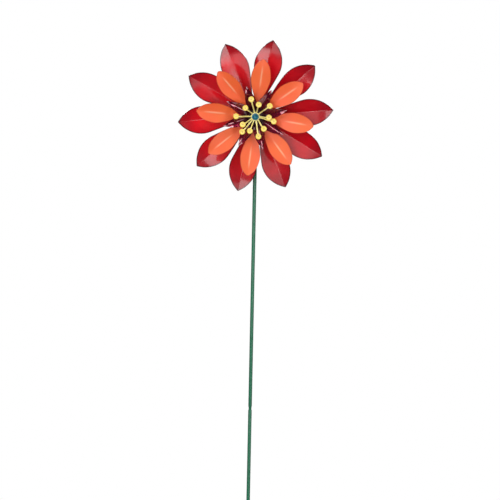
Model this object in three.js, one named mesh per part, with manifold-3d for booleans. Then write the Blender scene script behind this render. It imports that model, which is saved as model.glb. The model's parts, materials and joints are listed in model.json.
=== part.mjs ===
// A garden wind spinner: two metal flower wheels that turn on one bolt, at the top of a two-piece stake.
// Millimetres, +Z up. The origin is where the stake enters the soil, and the flower faces -Y.
import * as THREE from "three";
import { mergeVertices } from "three/addons/utils/BufferGeometryUtils.js";
import Module from "manifold-3d";

const wasm = await Module();
wasm.setup();

// ---- Driving dimensions ----
const axleHeight = 1015; // soil line to the flower's axle
const sheet = 0.8; // petal steel
const gap = 0.3; // air left between touching pieces
const seam = 0.1; // overlap where two lengths of one rod join
const roundSides = 24;
const rodSides = 16;

const pole = { radius: 3.75, wall: 0.45, length: 610, depthInSoil: 223.5, pointLength: 18 };
const swage = { radius: 3, bore: 2.4, neck: 5, taper: 5, insertion: 25 };
const fork = { radius: 3, halfSpan: 45, bend: 14, depth: 150, pointLength: 18 };

const axleRadius = 3;
const axleBore = axleRadius + gap;
const boss = { radius: 6, halfLength: 11.3 };
const hex = { acrossFlats: 10, headThickness: 4, nutThickness: 5 };
const washer = { radius: 7, thickness: 1 };
const frontWasher = { radius: 5.5, thickness: 1.9 };
const bushing = { flange: 1, sleeveRadius: 4.6, flangeRadius: 7 };
const hub = { radius: 6.5, bore: bushing.sleeveRadius + gap, plateRadius: 24, plate: 1.5 };
const capNut = { flangeRadius: 7.2, flange: 1.4, hexFlats: 10, hexHeight: 5, domeRadius: 4.9 };

// Distances forward of the stake's centre line, along the axle.
const rearWheelPlane = 24; // front face of the rear hub plate
const frontWheelPlane = 44; // front face of the front hub plate
const rearHubEnd = 31.2;

// Each petal is a list of [distance from the axle, half width], from its root to its tip.
const redPetal = {
  count: 10,
  phase: 77.9,
  outline: [[13, 3.4], [26, 5.6], [52, 13.2], [80, 21.8], [105, 27.4], [127, 24.2], [145, 13.9], [157.4, 0.7]],
  flatRoot: 24,
  fullShape: 60,
  foldSlope: 0.31,
  pitch: 5,
  lift: [[13, 0], [24, 0], [60, 1.8], [100, 4.4], [135, 7.4], [157.4, 12.5]],
};
const orangePetal = {
  count: 8,
  phase: 38.5,
  outline: [[12, 3.8], [24, 5.8], [42, 9.4], [58, 15.4], [78, 19.8], [97, 17.1], [110, 10.9], [118.5, 1.6]],
  flatRoot: 22,
  fullShape: 55,
  foldSlope: 0.16,
  pitch: -5,
  lift: [[12, 0], [22, 0], [45, 3.2], [75, 9.6], [100, 15.6], [118.5, 18.4]],
};
const corollaPetal = {
  count: 8,
  phase: 15.5,
  outline: [[12, 4.8], [18, 7.6], [26, 10], [35, 10.1], [46, 7.9], [56, 4.2], [65, 0.7]],
  flatRoot: 14,
  fullShape: 26,
  foldSlope: 0.4,
  pitch: 0,
  lift: [[12, 0], [16, 0.4], [26, 3.2], [38, 9.4], [49, 15.4], [58, 18.8], [65, 19.4]],
};
const corollaRing = { inner: 9.4, outer: 14 };
const stamen = {
  long: { reach: 38.2, rise: 18 },
  short: { reach: 28, rise: 20 },
  phase: -13.5,
  root: 8,
  armHalfWidth: 1.35,
  headRadius: 5.7,
  thickness: 1,
  ringInner: 6,
  ringOuter: 8.7,
};
// How far each stamen was bent sideways by hand, in degrees, starting at the long one nearest +X.
const stamenBends = [4, -13, -6, -1, -4, -2, 10, 13, 2, -7, -5, -6];

// ---- Materials ----
const paint = (colour, roughness) => new THREE.MeshStandardMaterial({ color: colour, roughness, metalness: 0.1 });
const redPaint = paint(0xb8121f, 0.3);
const orangePaint = paint(0xf4683a, 0.4);
const burgundyPaint = paint(0x5a0412, 0.2);
const yellowPaint = paint(0xf2d83a, 0.4);
const greenPaint = paint(0x3b8a66, 0.4);
const tealPaint = paint(0x1c7f8c, 0.25);
const zinc = new THREE.MeshStandardMaterial({ color: 0xb9bcc0, roughness: 0.35, metalness: 1 });
const nylon = new THREE.MeshStandardMaterial({ color: 0xe8e6dd, roughness: 0.6, metalness: 0 });

// ---- Solids ----
const radians = (degrees) => (degrees * Math.PI) / 180;

function toSolid(geometry) {
  const bare = geometry.index ? geometry.toNonIndexed() : geometry.clone();
  bare.deleteAttribute("normal");
  bare.deleteAttribute("uv");
  const merged = mergeVertices(bare, 1e-4);
  return new wasm.Manifold(
    new wasm.Mesh({
      numProp: 3,
      vertProperties: new Float32Array(merged.attributes.position.array),
      triVerts: new Uint32Array(merged.index.array),
    }),
  );
}

function fromSolid(solid) {
  const mesh = solid.getMesh();
  const geometry = new THREE.BufferGeometry();
  geometry.setAttribute("position", new THREE.BufferAttribute(new Float32Array(mesh.vertProperties), 3));
  geometry.setIndex(new THREE.BufferAttribute(new Uint32Array(mesh.triVerts), 1));
  geometry.computeVertexNormals();
  return geometry;
}

// A solid turned about Z from a profile of [radius, z] corners, listed with the material on the left.
function turned(profile, closedRing = true, sides = roundSides) {
  const points = profile.map(([radius, z]) => new THREE.Vector2(radius, z));
  if (closedRing) points.push(points[0].clone());
  return new THREE.LatheGeometry(points, sides).rotateX(Math.PI / 2);
}

const ring = (inner, outer, from, to) => turned([[inner, from], [outer, from], [outer, to], [inner, to]]);

const rod = (radius, from, to) => turned([[0, from], [radius, from], [radius, to], [0, to]], false);

function hexPrism(acrossFlats, from, to) {
  const corner = acrossFlats / Math.sqrt(3);
  return new THREE.CylinderGeometry(corner, corner, to - from, 6)
    .rotateX(Math.PI / 2)
    .translate(0, 0, (from + to) / 2);
}

// ---- Blades: every petal and stamen is a strip of sheet whose front face is place(r, side) ----
function bladeGeometry(stations, across, thickness, place) {
  const rows = stations.length;
  const columns = across + 1;
  const front = [];
  for (const [r, halfWidth] of stations)
    for (let j = 0; j < columns; j++) front.push(place(r, halfWidth * ((2 * j) / across - 1)));
  const back = front.map((p) => p.clone().setZ(p.z - thickness));
  const corners = [...front, ...back];
  const index = [];
  const quad = (a, b, c, d) => index.push(a, b, c, a, c, d);
  const at = (i, j) => i * columns + j;
  const under = front.length;
  for (let i = 0; i < rows - 1; i++) {
    for (let j = 0; j < across; j++) {
      quad(at(i, j), at(i + 1, j), at(i + 1, j + 1), at(i, j + 1));
      quad(under + at(i, j), under + at(i, j + 1), under + at(i + 1, j + 1), under + at(i + 1, j));
    }
    quad(at(i, 0), under + at(i, 0), under + at(i + 1, 0), at(i + 1, 0));
    quad(at(i, across), at(i + 1, across), under + at(i + 1, across), under + at(i, across));
  }
  for (let j = 0; j < across; j++) {
    quad(at(0, j), at(0, j + 1), under + at(0, j + 1), under + at(0, j));
    quad(at(rows - 1, j), under + at(rows - 1, j), under + at(rows - 1, j + 1), at(rows - 1, j + 1));
  }
  const geometry = new THREE.BufferGeometry().setFromPoints(corners);
  geometry.setIndex(index);
  geometry.computeVertexNormals();
  return geometry;
}

const splineOf = (points) => new THREE.SplineCurve(points.map(([x, y]) => new THREE.Vector2(x, y)));

// Height of a lift curve at r: its points are close to evenly spaced, so a bisection on x is enough.
function heightAt(curve, r) {
  let low = 0;
  let high = 1;
  for (let n = 0; n < 24; n++) {
    const middle = (low + high) / 2;
    if (curve.getPoint(middle).x < r) low = middle;
    else high = middle;
  }
  return curve.getPoint(low).y;
}

// A petal points along +X. It is flat at its root, and folds into a valley and turns to its pitch further out.
function petalGeometry(petal, steps, across) {
  const outline = splineOf(petal.outline).getPoints(steps);
  const lift = splineOf(petal.lift);
  const pitch = radians(petal.pitch);
  const place = (r, t) => {
    const shaped = THREE.MathUtils.smoothstep(r, petal.flatRoot, petal.fullShape);
    const fold = Math.abs(t) * petal.foldSlope * shaped;
    const turn = pitch * shaped;
    return new THREE.Vector3(
      r,
      t - fold * Math.sin(turn),
      heightAt(lift, r) + t * Math.tan(turn) + fold * Math.cos(turn),
    );
  };
  return bladeGeometry(outline.map((p) => [p.x, p.y]), across, sheet, place);
}

function stamenGeometry({ reach, rise }) {
  const { root, armHalfWidth, headRadius, thickness } = stamen;
  const neck = reach - Math.sqrt(headRadius ** 2 - armHalfWidth ** 2);
  const stations = [];
  const armSteps = 6;
  for (let i = 0; i < armSteps; i++) stations.push([root + ((neck - root) * i) / armSteps, armHalfWidth]);
  const headSteps = 8;
  const start = Math.acos((reach - neck) / headRadius);
  for (let i = 0; i <= headSteps; i++) {
    const angle = Math.PI - start - ((Math.PI - start - 0.12) * i) / headSteps;
    stations.push([reach + headRadius * Math.cos(angle), headRadius * Math.sin(angle)]);
  }
  const headStart = reach - headRadius * 0.7;
  const place = (r, t) =>
    new THREE.Vector3(r, t, thickness + rise * THREE.MathUtils.smoothstep(r, root, headStart));
  return bladeGeometry(stations, 2, thickness, place);
}

// ---- Pieces ----
const spinner = new THREE.Group();

// The head's group has its +Z along the axle, towards whoever looks at the flower.
const head = new THREE.Group();
head.rotation.x = Math.PI / 2;
head.position.z = axleHeight;
spinner.add(head);

function add(group, name, geometry, material) {
  const mesh = new THREE.Mesh(geometry, material);
  mesh.name = name;
  group.add(mesh);
  return mesh;
}

function stakePieces() {
  const rim = pole.length - pole.depthInSoil;
  const foot = -pole.depthInSoil;
  const socket = swage.radius + gap;
  const socketFloor = rim - swage.insertion - 5;
  add(
    spinner,
    "lower_pole",
    turned(
      [
        [0, foot],
        [0.6, foot],
        [pole.radius, foot + pole.pointLength],
        [pole.radius, rim],
        [socket, rim],
        [socket, socketFloor],
        [0, socketFloor],
      ],
      false,
    ),
    greenPaint,
  );
  const neckTop = rim + swage.neck;
  const shoulder = neckTop + swage.taper;
  const top = axleHeight - boss.radius - gap;
  const bore = pole.radius - pole.wall - gap;
  add(
    spinner,
    "upper_pole",
    turned([
      [swage.bore, rim - swage.insertion],
      [swage.radius, rim - swage.insertion],
      [swage.radius, neckTop],
      [pole.radius, shoulder],
      [pole.radius, top],
      [bore, top],
      [bore, shoulder + 1],
      [swage.bore, neckTop],
    ]),
    greenPaint,
  );
}

// One bent rod: a step bar that rests on the soil, welded behind the pole, and a prong at each end.
function groundFork() {
  const { radius, halfSpan, bend, depth, pointLength } = fork;
  const barHeight = radius;
  const bendTop = new THREE.Vector3(0, 0, barHeight);
  const section = new THREE.Shape().absarc(0, 0, radius, 0, 2 * Math.PI);
  const barLength = 2 * (halfSpan - bend) + 2 * seam;
  let solid = toSolid(new THREE.CylinderGeometry(radius, radius, barLength, rodSides).rotateZ(Math.PI / 2)).translate([
    0,
    0,
    barHeight,
  ]);
  for (const side of [-1, 1]) {
    const inner = bendTop.clone().setX(side * (halfSpan - bend));
    const corner = bendTop.clone().setX(side * halfSpan);
    const outer = corner.clone().setZ(barHeight - bend);
    const elbow = new THREE.QuadraticBezierCurve3(inner, corner, outer);
    const options = { extrudePath: elbow, steps: 6, curveSegments: rodSides / 2, bevelEnabled: false };
    const prong = turned(
      [
        [0, -depth],
        [0.6, -depth],
        [radius, pointLength - depth],
        [radius, outer.z + seam],
        [0, outer.z + seam],
      ],
      false,
      rodSides,
    ).translate(outer.x, 0, 0);
    solid = solid.add(toSolid(new THREE.ExtrudeGeometry(section, options))).add(toSolid(prong));
  }
  const mesh = add(spinner, "ground_fork", fromSolid(solid), greenPaint);
  mesh.position.y = pole.radius + radius + gap;
}

function axlePieces() {
  const bossRear = -boss.halfLength;
  const headFront = bossRear - gap;
  const axleEnd = frontWheelPlane + 10;
  add(head, "axle_boss", ring(axleBore, boss.radius, bossRear, boss.halfLength), greenPaint);
  const bolt = toSolid(rod(axleRadius, headFront - 1, axleEnd)).add(
    toSolid(hexPrism(hex.acrossFlats, headFront - hex.headThickness, headFront)),
  );
  add(head, "axle_bolt", fromSolid(bolt), zinc);
  const nutRear = boss.halfLength + gap;
  const nut = toSolid(hexPrism(hex.acrossFlats, nutRear, nutRear + hex.nutThickness)).subtract(
    toSolid(rod(axleBore, nutRear - 1, nutRear + hex.nutThickness + 1)),
  );
  add(head, "jam_nut", fromSolid(nut), zinc);
  const washerAt = (name, rear, { radius, thickness }) =>
    add(head, name, ring(axleBore, radius, rear, rear + thickness), zinc);
  washerAt("rear_washer", nutRear + hex.nutThickness + gap, washer);
  washerAt("middle_washer", rearHubEnd + 2 * gap + bushing.flange, washer);
  washerAt("front_washer", frontWheelPlane + 2 * gap + bushing.flange, frontWasher);
}

function capNutPiece() {
  const rear = frontWheelPlane + 3 * gap + bushing.flange + frontWasher.thickness;
  const hexRear = rear + capNut.flange;
  const hexFront = hexRear + capNut.hexHeight;
  const dome = new THREE.SphereGeometry(capNut.domeRadius, 20, 12).translate(0, 0, hexFront - 0.4);
  const solid = toSolid(rod(capNut.flangeRadius, rear, hexRear))
    .add(toSolid(hexPrism(capNut.hexFlats, hexRear - 0.2, hexFront)))
    .add(toSolid(dome))
    .subtract(toSolid(rod(axleBore, rear - 5, frontWheelPlane + 10 + gap)));
  add(head, "cap_nut", fromSolid(solid), tealPaint);
}

// A wheel's hub: a tube, with the plate that carries the petals, and a flanged bushing in each end.
function hubPieces(group, wheel, rear, plane, front) {
  const plateRear = plane - hub.plate;
  const outline = [[hub.bore, rear], [hub.radius, rear], [hub.radius, plateRear], [hub.plateRadius, plateRear]];
  outline.push([hub.plateRadius, plane]);
  if (front > plane) outline.push([hub.radius, plane], [hub.radius, front]);
  outline.push([hub.bore, front]);
  add(group, `${wheel}_hub`, turned(outline), greenPaint);
  const { flange, sleeveRadius, flangeRadius } = bushing;
  const sleeve = (front - rear) / 2 - 1;
  const back = rear - gap;
  add(
    group,
    `${wheel}_bushing_back`,
    turned([
      [axleBore, back - flange],
      [flangeRadius, back - flange],
      [flangeRadius, back],
      [sleeveRadius, back],
      [sleeveRadius, back + sleeve],
      [axleBore, back + sleeve],
    ]),
    nylon,
  );
  const nose = front + gap;
  add(
    group,
    `${wheel}_bushing_front`,
    turned([
      [axleBore, nose - sleeve],
      [sleeveRadius, nose - sleeve],
      [sleeveRadius, nose],
      [flangeRadius, nose],
      [flangeRadius, nose + flange],
      [axleBore, nose + flange],
    ]),
    nylon,
  );
}

function petalPieces(group, petal, name, plane, material) {
  for (let k = 0; k < petal.count; k++) {
    const number = String(k + 1).padStart(2, "0");
    const mesh = add(group, `${name}_${number}`, petalGeometry(petal, 12, 4), material);
    mesh.position.z = plane + gap + sheet;
    mesh.rotation.z = radians(petal.phase + (360 / petal.count) * k);
  }
}

// Eight dark petals pressed from one disc.
function corollaPiece(group, rear) {
  let solid = toSolid(ring(corollaRing.inner, corollaRing.outer, 0, sheet));
  for (let k = 0; k < corollaPetal.count; k++) {
    const angle = radians(corollaPetal.phase + (360 / corollaPetal.count) * k);
    const petal = petalGeometry(corollaPetal, 8, 4).translate(0, 0, sheet).rotateZ(angle);
    solid = solid.add(toSolid(petal));
  }
  add(group, "corolla", fromSolid(solid), burgundyPaint).position.z = rear;
}

// Twelve stamens cut from one sheet, long and short in turn, each bent forward.
function stamenPiece(group, rear) {
  let solid = toSolid(ring(stamen.ringInner, stamen.ringOuter, 0, stamen.thickness));
  stamenBends.forEach((bend, k) => {
    const kind = k % 2 === 0 ? stamen.long : stamen.short;
    const angle = radians(stamen.phase + 30 * k + bend);
    solid = solid.add(toSolid(stamenGeometry(kind).rotateZ(angle)));
  });
  add(group, "stamens", fromSolid(solid), yellowPaint).position.z = rear;
}

function rearWheel() {
  const wheel = new THREE.Group();
  head.add(wheel);
  const washerFront = boss.halfLength + 2 * gap + hex.nutThickness + washer.thickness;
  hubPieces(wheel, "rear", washerFront + 2 * gap + bushing.flange, rearWheelPlane, rearHubEnd);
  petalPieces(wheel, redPetal, "red_petal", rearWheelPlane, redPaint);
}

function frontWheel() {
  const wheel = new THREE.Group();
  head.add(wheel);
  const washerFront = rearHubEnd + 2 * gap + bushing.flange + washer.thickness;
  hubPieces(wheel, "front", washerFront + 2 * gap + bushing.flange, frontWheelPlane, frontWheelPlane);
  petalPieces(wheel, orangePetal, "orange_petal", frontWheelPlane, orangePaint);
  const corollaRear = frontWheelPlane + 2 * gap + sheet;
  corollaPiece(wheel, corollaRear);
  stamenPiece(wheel, corollaRear + sheet + gap);
}

stakePieces();
groundFork();
axlePieces();
capNutPiece();
rearWheel();
frontWheel();

export default spinner;
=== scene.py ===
import json
import math
import random

import bmesh
import bpy
import numpy as np
from mathutils import Matrix, Vector


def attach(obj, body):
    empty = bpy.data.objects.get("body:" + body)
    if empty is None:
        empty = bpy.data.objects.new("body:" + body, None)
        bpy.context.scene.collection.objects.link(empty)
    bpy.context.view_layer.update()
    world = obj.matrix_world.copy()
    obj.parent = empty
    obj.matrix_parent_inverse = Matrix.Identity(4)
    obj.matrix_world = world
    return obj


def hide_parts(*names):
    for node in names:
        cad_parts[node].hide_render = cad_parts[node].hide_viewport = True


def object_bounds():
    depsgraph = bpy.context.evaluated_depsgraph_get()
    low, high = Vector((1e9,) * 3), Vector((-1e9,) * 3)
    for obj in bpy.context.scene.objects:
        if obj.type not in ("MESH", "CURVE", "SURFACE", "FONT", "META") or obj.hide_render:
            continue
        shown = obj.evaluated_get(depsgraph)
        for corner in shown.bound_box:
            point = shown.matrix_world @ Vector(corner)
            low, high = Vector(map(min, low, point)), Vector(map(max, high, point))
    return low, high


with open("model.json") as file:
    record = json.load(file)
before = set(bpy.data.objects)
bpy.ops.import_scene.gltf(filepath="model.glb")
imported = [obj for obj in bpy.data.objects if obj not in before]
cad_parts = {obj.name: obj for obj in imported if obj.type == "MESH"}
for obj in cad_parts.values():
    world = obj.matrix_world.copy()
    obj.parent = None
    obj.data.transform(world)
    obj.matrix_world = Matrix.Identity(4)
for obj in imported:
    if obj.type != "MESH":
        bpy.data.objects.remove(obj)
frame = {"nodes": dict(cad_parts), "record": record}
print("frame loaded:", len(frame["nodes"]), "nodes")


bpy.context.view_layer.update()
joints = {joint["name"]: joint for joint in frame["record"]["behaviour"]["joints"]}
rearWheelPlane = -joints["rear_wheel_spin"]["pos_m"][1] * 1000  # mm forward of the pole's centre line
frontWheelPlane = -joints["front_wheel_spin"]["pos_m"][1] * 1000
axleHeight = joints["front_wheel_spin"]["pos_m"][2]
gap = 0.3  # mm of air between neighbouring parts

# head pieces are drawn in mm with +Z along the axle, out of the flower's face, then stood up on the pole
stakePlace = Matrix.Scale(0.001, 4)
headPlace = Matrix.Translation((0, 0, axleHeight)) @ Matrix.Rotation(math.pi / 2, 4, "X") @ stakePlace


def linear(hexColour):
    channels = [int(hexColour[i : i + 2], 16) / 255 for i in (1, 3, 5)]
    return tuple(c / 12.92 if c < 0.04045 else ((c + 0.055) / 1.055) ** 2.4 for c in channels) + (1.0,)


def addNode(tree, kind, settings=None, inputs=None):
    node = tree.nodes.new(kind)
    node.location = (190 * len(tree.nodes), 0)
    for name, value in (settings or {}).items():
        setattr(node, name, value)
    for key, value in (inputs or {}).items():
        if isinstance(value, bpy.types.NodeSocket):
            tree.links.new(value, node.inputs[key])
        else:
            node.inputs[key].default_value = value
    return node


def newMaterial(name):
    material = bpy.data.materials.new(name)
    material.use_nodes = True
    material.node_tree.nodes.clear()
    return material, material.node_tree


def tonedColour(tree, cloud, paint):
    # the paint's colour drifts in soft clouds, and marks stored on the sheet take tones of their own; some of
    # these tones are painted shade and painted highlights, as each paint below says
    drift = addNode(tree, "ShaderNodeMapRange", inputs={
        "Value": cloud, "From Min": 0.35, "From Max": 0.65, "To Max": paint["cloudDepth"],
    })
    colour = addNode(tree, "ShaderNodeMix", {"data_type": "RGBA"}, {
        0: drift.outputs[0], 6: linear(paint["colour"]), 7: linear(paint["deep"]),
    })
    for label, (depth, tone) in paint.get("tones", {}).items():
        mark = addNode(tree, "ShaderNodeAttribute", {"attribute_name": label})
        amount = addNode(tree, "ShaderNodeMath", {"operation": "MULTIPLY"}, {
            0: mark.outputs["Fac"], 1: depth,
        })
        colour = addNode(tree, "ShaderNodeMix", {"data_type": "RGBA"}, {
            0: amount.outputs[0], 6: colour.outputs[2], 7: linear(tone),
        })
    return colour.outputs[2]


def darkEdgeBand(tree, place, colour, paint):
    # a darker band along the sheet's cut edge, with an uneven inner line
    rim = addNode(tree, "ShaderNodeAttribute", {"attribute_name": "edgeMm"})
    grit = addNode(tree, "ShaderNodeTexNoise", inputs={"Vector": place, "Scale": 1000 / 3.0, "Detail": 2.0})
    wander = addNode(tree, "ShaderNodeMath", {"operation": "MULTIPLY_ADD"}, {
        0: grit.outputs["Fac"], 1: 0.8, 2: -0.4,
    })
    reach = addNode(tree, "ShaderNodeMath", {"operation": "ADD"}, {
        0: rim.outputs["Fac"], 1: wander.outputs[0],
    })
    bandDepth = addNode(tree, "ShaderNodeMapRange", inputs={
        "Value": reach.outputs[0], "From Min": 0.0, "From Max": paint["edgeMm"],
        "To Min": paint["edgeDepth"], "To Max": 0.0,
    })
    return addNode(tree, "ShaderNodeMix", {"data_type": "RGBA"}, {
        0: bandDepth.outputs[0], 6: colour, 7: linear(paint["edge"]),
    }).outputs[2]


def enamel(name, paint):
    material, tree = newMaterial(name)
    place = addNode(tree, "ShaderNodeTexCoord").outputs["Object"]
    cloud = addNode(tree, "ShaderNodeTexNoise", inputs={
        "Vector": place, "Scale": 1000 / paint["cloudMm"], "Detail": 3.0,
    }).outputs["Fac"]
    colour = tonedColour(tree, cloud, paint)
    if "edge" in paint:
        colour = darkEdgeBand(tree, place, colour, paint)
    rough = addNode(tree, "ShaderNodeMapRange", inputs={
        "Value": cloud, "From Min": 0.3, "From Max": 0.7,
        "To Min": paint["roughness"] - 0.05, "To Max": paint["roughness"] + 0.05,
    })
    peel = addNode(tree, "ShaderNodeTexNoise", inputs={
        "Vector": place, "Scale": 1000 / paint["peelMm"], "Detail": 1.0,
    })
    bump = addNode(tree, "ShaderNodeBump", inputs={
        "Height": peel.outputs["Fac"], "Strength": paint["peelStrength"], "Distance": 0.0001,
    })
    gloss, metal = paint["coat"], paint.get("metal", 0.0)
    if "dull" in paint:  # where this mark is set the coat and metal fade out, so the painted shade on the burgundy cup's root mirrors no lamp
        bare = addNode(tree, "ShaderNodeAttribute", {"attribute_name": paint["dull"]}).outputs["Fac"]
        gloss, metal = (
            addNode(tree, "ShaderNodeMath", {"operation": "MULTIPLY_ADD"}, {
                0: bare, 1: -full, 2: full,
            }).outputs[0]
            for full in (gloss, metal)
        )
    skin = addNode(tree, "ShaderNodeBsdfPrincipled", inputs={
        "Base Color": colour, "Roughness": rough.outputs[0], "Normal": bump.outputs[0], "IOR": 1.5,
        "Specular IOR Level": paint.get("baseShine", 0.5), "Metallic": metal,
        "Coat Weight": gloss, "Coat Roughness": paint["coatRoughness"], "Coat IOR": paint.get("coatIor", 1.5),
    })
    addNode(tree, "ShaderNodeOutputMaterial", inputs={"Surface": skin.outputs[0]})
    return material


# gloss enamel on pressed steel: deep saturated red where it mirrors nothing, pink where it mirrors the lamps,
# with painted shade towards the root and the tips
redEnamel = enamel("redGlossEnamel", {
    "colour": "#e4031a", "deep": "#b80016", "cloudMm": 60, "cloudDepth": 0.75,
    # root: painted shade where the orange ring in front shades the red petals; tip: painted shade on the bent
    # tips
    "tones": {"shade": (0.25, "#a00514"), "root": (0.45, "#8a0018"), "tip": (0.8, "#9c0418")},
    "edge": "#2a0c14", "edgeMm": 2.6, "edgeDepth": 0.95,
    "roughness": 0.4, "baseShine": 0.2, "coat": 1.0, "coatRoughness": 0.13,
    "peelMm": 2.2, "peelStrength": 0.25,
})
# satin enamel: warm coral orange with soft, wide highlights, and a painted highlight in a paler tone along
# the pressed vein
orangeEnamel = enamel("orangeSatinEnamel", {
    "colour": "#fb6132", "deep": "#f46d2a", "cloudMm": 40, "cloudDepth": 0.6,
    # vein: a painted highlight, a paler tone along the pressed vein
    "tones": {"shade": (0.3, "#f46628"), "vein": (0.85, "#ffae86")},
    "edge": "#b8340f", "edgeMm": 1.4, "edgeDepth": 0.7,
    "roughness": 0.5, "coat": 0.15, "coatRoughness": 0.35, "peelMm": 2.0, "peelStrength": 0.3,
})
# thick candy lacquer over bright metal: sharp rosy streaks along the folds, and painted shade making the
# cup's root nearly black maroon and matt
burgundyEnamel = enamel("burgundyCandyLacquer", {
    "colour": "#8e1034", "deep": "#66061c", "metal": 0.65, "cloudMm": 25, "cloudDepth": 0.6,
    # root: painted shade, nearly black where the cup's centre lies in shadow
    "tones": {"root": (0.95, "#120003")}, "dull": "root",
    "edge": "#3a0610", "edgeMm": 0.8, "edgeDepth": 0.6,
    "roughness": 0.22, "baseShine": 0.1, "coat": 1.0, "coatRoughness": 0.05, "coatIor": 1.9,
    "peelMm": 1.8, "peelStrength": 0.2,
})
# satin enamel: pale egg yellow on the arms as a painted highlight, stronger yellow on each head's rim, and
# deepest in the dish as painted shade
yellowEnamel = enamel("yellowSatinEnamel", {
    "colour": "#fff09a", "deep": "#ffe46e", "cloudMm": 8, "cloudDepth": 0.6,
    # dish: painted shade in each head's dished middle; lip: the stronger yellow on the raised rim
    "tones": {"dish": (0.9, "#dcae00"), "lip": (0.9, "#ffdb34")},
    "roughness": 0.4, "coat": 0.5, "coatRoughness": 0.2, "peelMm": 1.2, "peelStrength": 0.25,
})
# semi-gloss powder coat on drawn tube: even sea green with a soft line of light down its length
greenPowderCoat = enamel("greenPowderCoat", {
    "colour": "#287857", "deep": "#22674a", "cloudMm": 30, "cloudDepth": 0.6,
    "roughness": 0.42, "coat": 0.35, "coatRoughness": 0.25, "peelMm": 0.9, "peelStrength": 0.5,
})
# gloss enamel over a pressed cap nut: deep teal with small bright glints
tealEnamel = enamel("tealGlossEnamel", {
    "colour": "#007d9a", "deep": "#01485a", "cloudMm": 5, "cloudDepth": 0.6,
    "roughness": 0.3, "baseShine": 0.0, "coat": 0.8, "coatRoughness": 0.04,
    "peelMm": 1.0, "peelStrength": 0.2,
})


def brightZinc():  # zinc plated steel: cool grey metal with faint yellowish clouds and a fine grain
    material, tree = newMaterial("brightZincPlate")
    place = addNode(tree, "ShaderNodeTexCoord").outputs["Object"]
    cloud = addNode(tree, "ShaderNodeTexNoise", inputs={"Vector": place, "Scale": 1000 / 6.0, "Detail": 4.0})
    colour = addNode(tree, "ShaderNodeMix", {"data_type": "RGBA"}, {
        0: cloud.outputs["Fac"], 6: linear("#c9ccd0"), 7: linear("#b7b39f"),
    })
    rough = addNode(tree, "ShaderNodeMapRange", inputs={
        "Value": cloud.outputs["Fac"], "To Min": 0.22, "To Max": 0.48,
    })
    grit = addNode(tree, "ShaderNodeTexNoise", inputs={"Vector": place, "Scale": 1000 / 0.5, "Detail": 2.0})
    bump = addNode(tree, "ShaderNodeBump", inputs={
        "Height": grit.outputs["Fac"], "Strength": 0.3, "Distance": 0.00005,
    })
    skin = addNode(tree, "ShaderNodeBsdfPrincipled", inputs={
        "Base Color": colour.outputs[2], "Metallic": 1.0,
        "Roughness": rough.outputs[0], "Normal": bump.outputs[0],
    })
    addNode(tree, "ShaderNodeOutputMaterial", inputs={"Surface": skin.outputs[0]})
    return material


def naturalNylon():  # moulded nylon: milky off-white that glows slightly, with a dull waxy sheen
    material, tree = newMaterial("naturalNylon")
    place = addNode(tree, "ShaderNodeTexCoord").outputs["Object"]
    cloud = addNode(tree, "ShaderNodeTexNoise", inputs={"Vector": place, "Scale": 1000 / 4.0, "Detail": 3.0})
    colour = addNode(tree, "ShaderNodeMix", {"data_type": "RGBA"}, {
        0: cloud.outputs["Fac"], 6: linear("#ece9df"), 7: linear("#dcd7c6"),
    })
    rough = addNode(tree, "ShaderNodeMapRange", inputs={
        "Value": cloud.outputs["Fac"], "To Min": 0.4, "To Max": 0.6,
    })
    skin = addNode(tree, "ShaderNodeBsdfPrincipled", inputs={
        "Base Color": colour.outputs[2], "Roughness": rough.outputs[0], "IOR": 1.53,
        "Subsurface Weight": 0.15, "Subsurface Radius": (0.002, 0.002, 0.0015), "Subsurface Scale": 0.5,
    })
    addNode(tree, "ShaderNodeOutputMaterial", inputs={"Surface": skin.outputs[0]})
    return material


finishes = {
    "red_paint": redEnamel, "orange_paint": orangeEnamel, "burgundy_paint": burgundyEnamel,
    "yellow_paint": yellowEnamel, "green_paint": greenPowderCoat, "teal_paint": tealEnamel,
    "zinc_steel": brightZinc(), "nylon": naturalNylon(),
}
print("materials ready")


def meshFrom(name, vertices, faces):
    mesh = bpy.data.meshes.new(name)
    mesh.from_pydata([tuple(v) for v in vertices], [], [tuple(f) for f in faces])
    mesh.validate()
    return mesh


def lineFrom(name, points):
    line = bpy.data.meshes.new(name)
    line.from_pydata(points, [(k, k + 1) for k in range(len(points) - 1)], [])
    return line


def finishPiece(name, mesh, place, body, slot, *nodes, sharpDegrees=40):
    # moves a mesh drawn in mm to its place, smooths it, and tells the frame what it stands for
    mesh.transform(place)
    mesh.name = name
    mesh.materials.clear()
    mesh.materials.append(finishes[slot])
    mesh.polygons.foreach_set("use_smooth", [True] * len(mesh.polygons))
    mesh.set_sharp_from_angle(angle=math.radians(sharpDegrees))
    piece = bpy.data.objects.new(name, mesh)
    bpy.context.scene.collection.objects.link(piece)
    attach(piece, body)
    if nodes:
        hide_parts(*nodes)
    return piece


def joinMeshes(name, meshes):
    whole = bmesh.new()
    for mesh in meshes:
        whole.from_mesh(mesh)
    joined = bpy.data.meshes.new(name)
    whole.to_mesh(joined)
    whole.free()
    return joined


def cleaned(mesh):
    # merges corners that fall together and turns every face outward
    tidy = bmesh.new()
    tidy.from_mesh(mesh)
    bmesh.ops.remove_doubles(tidy, verts=tidy.verts, dist=1e-4)
    bmesh.ops.recalc_face_normals(tidy, faces=tidy.faces)
    tidy.to_mesh(mesh)
    tidy.free()
    return mesh


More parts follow.
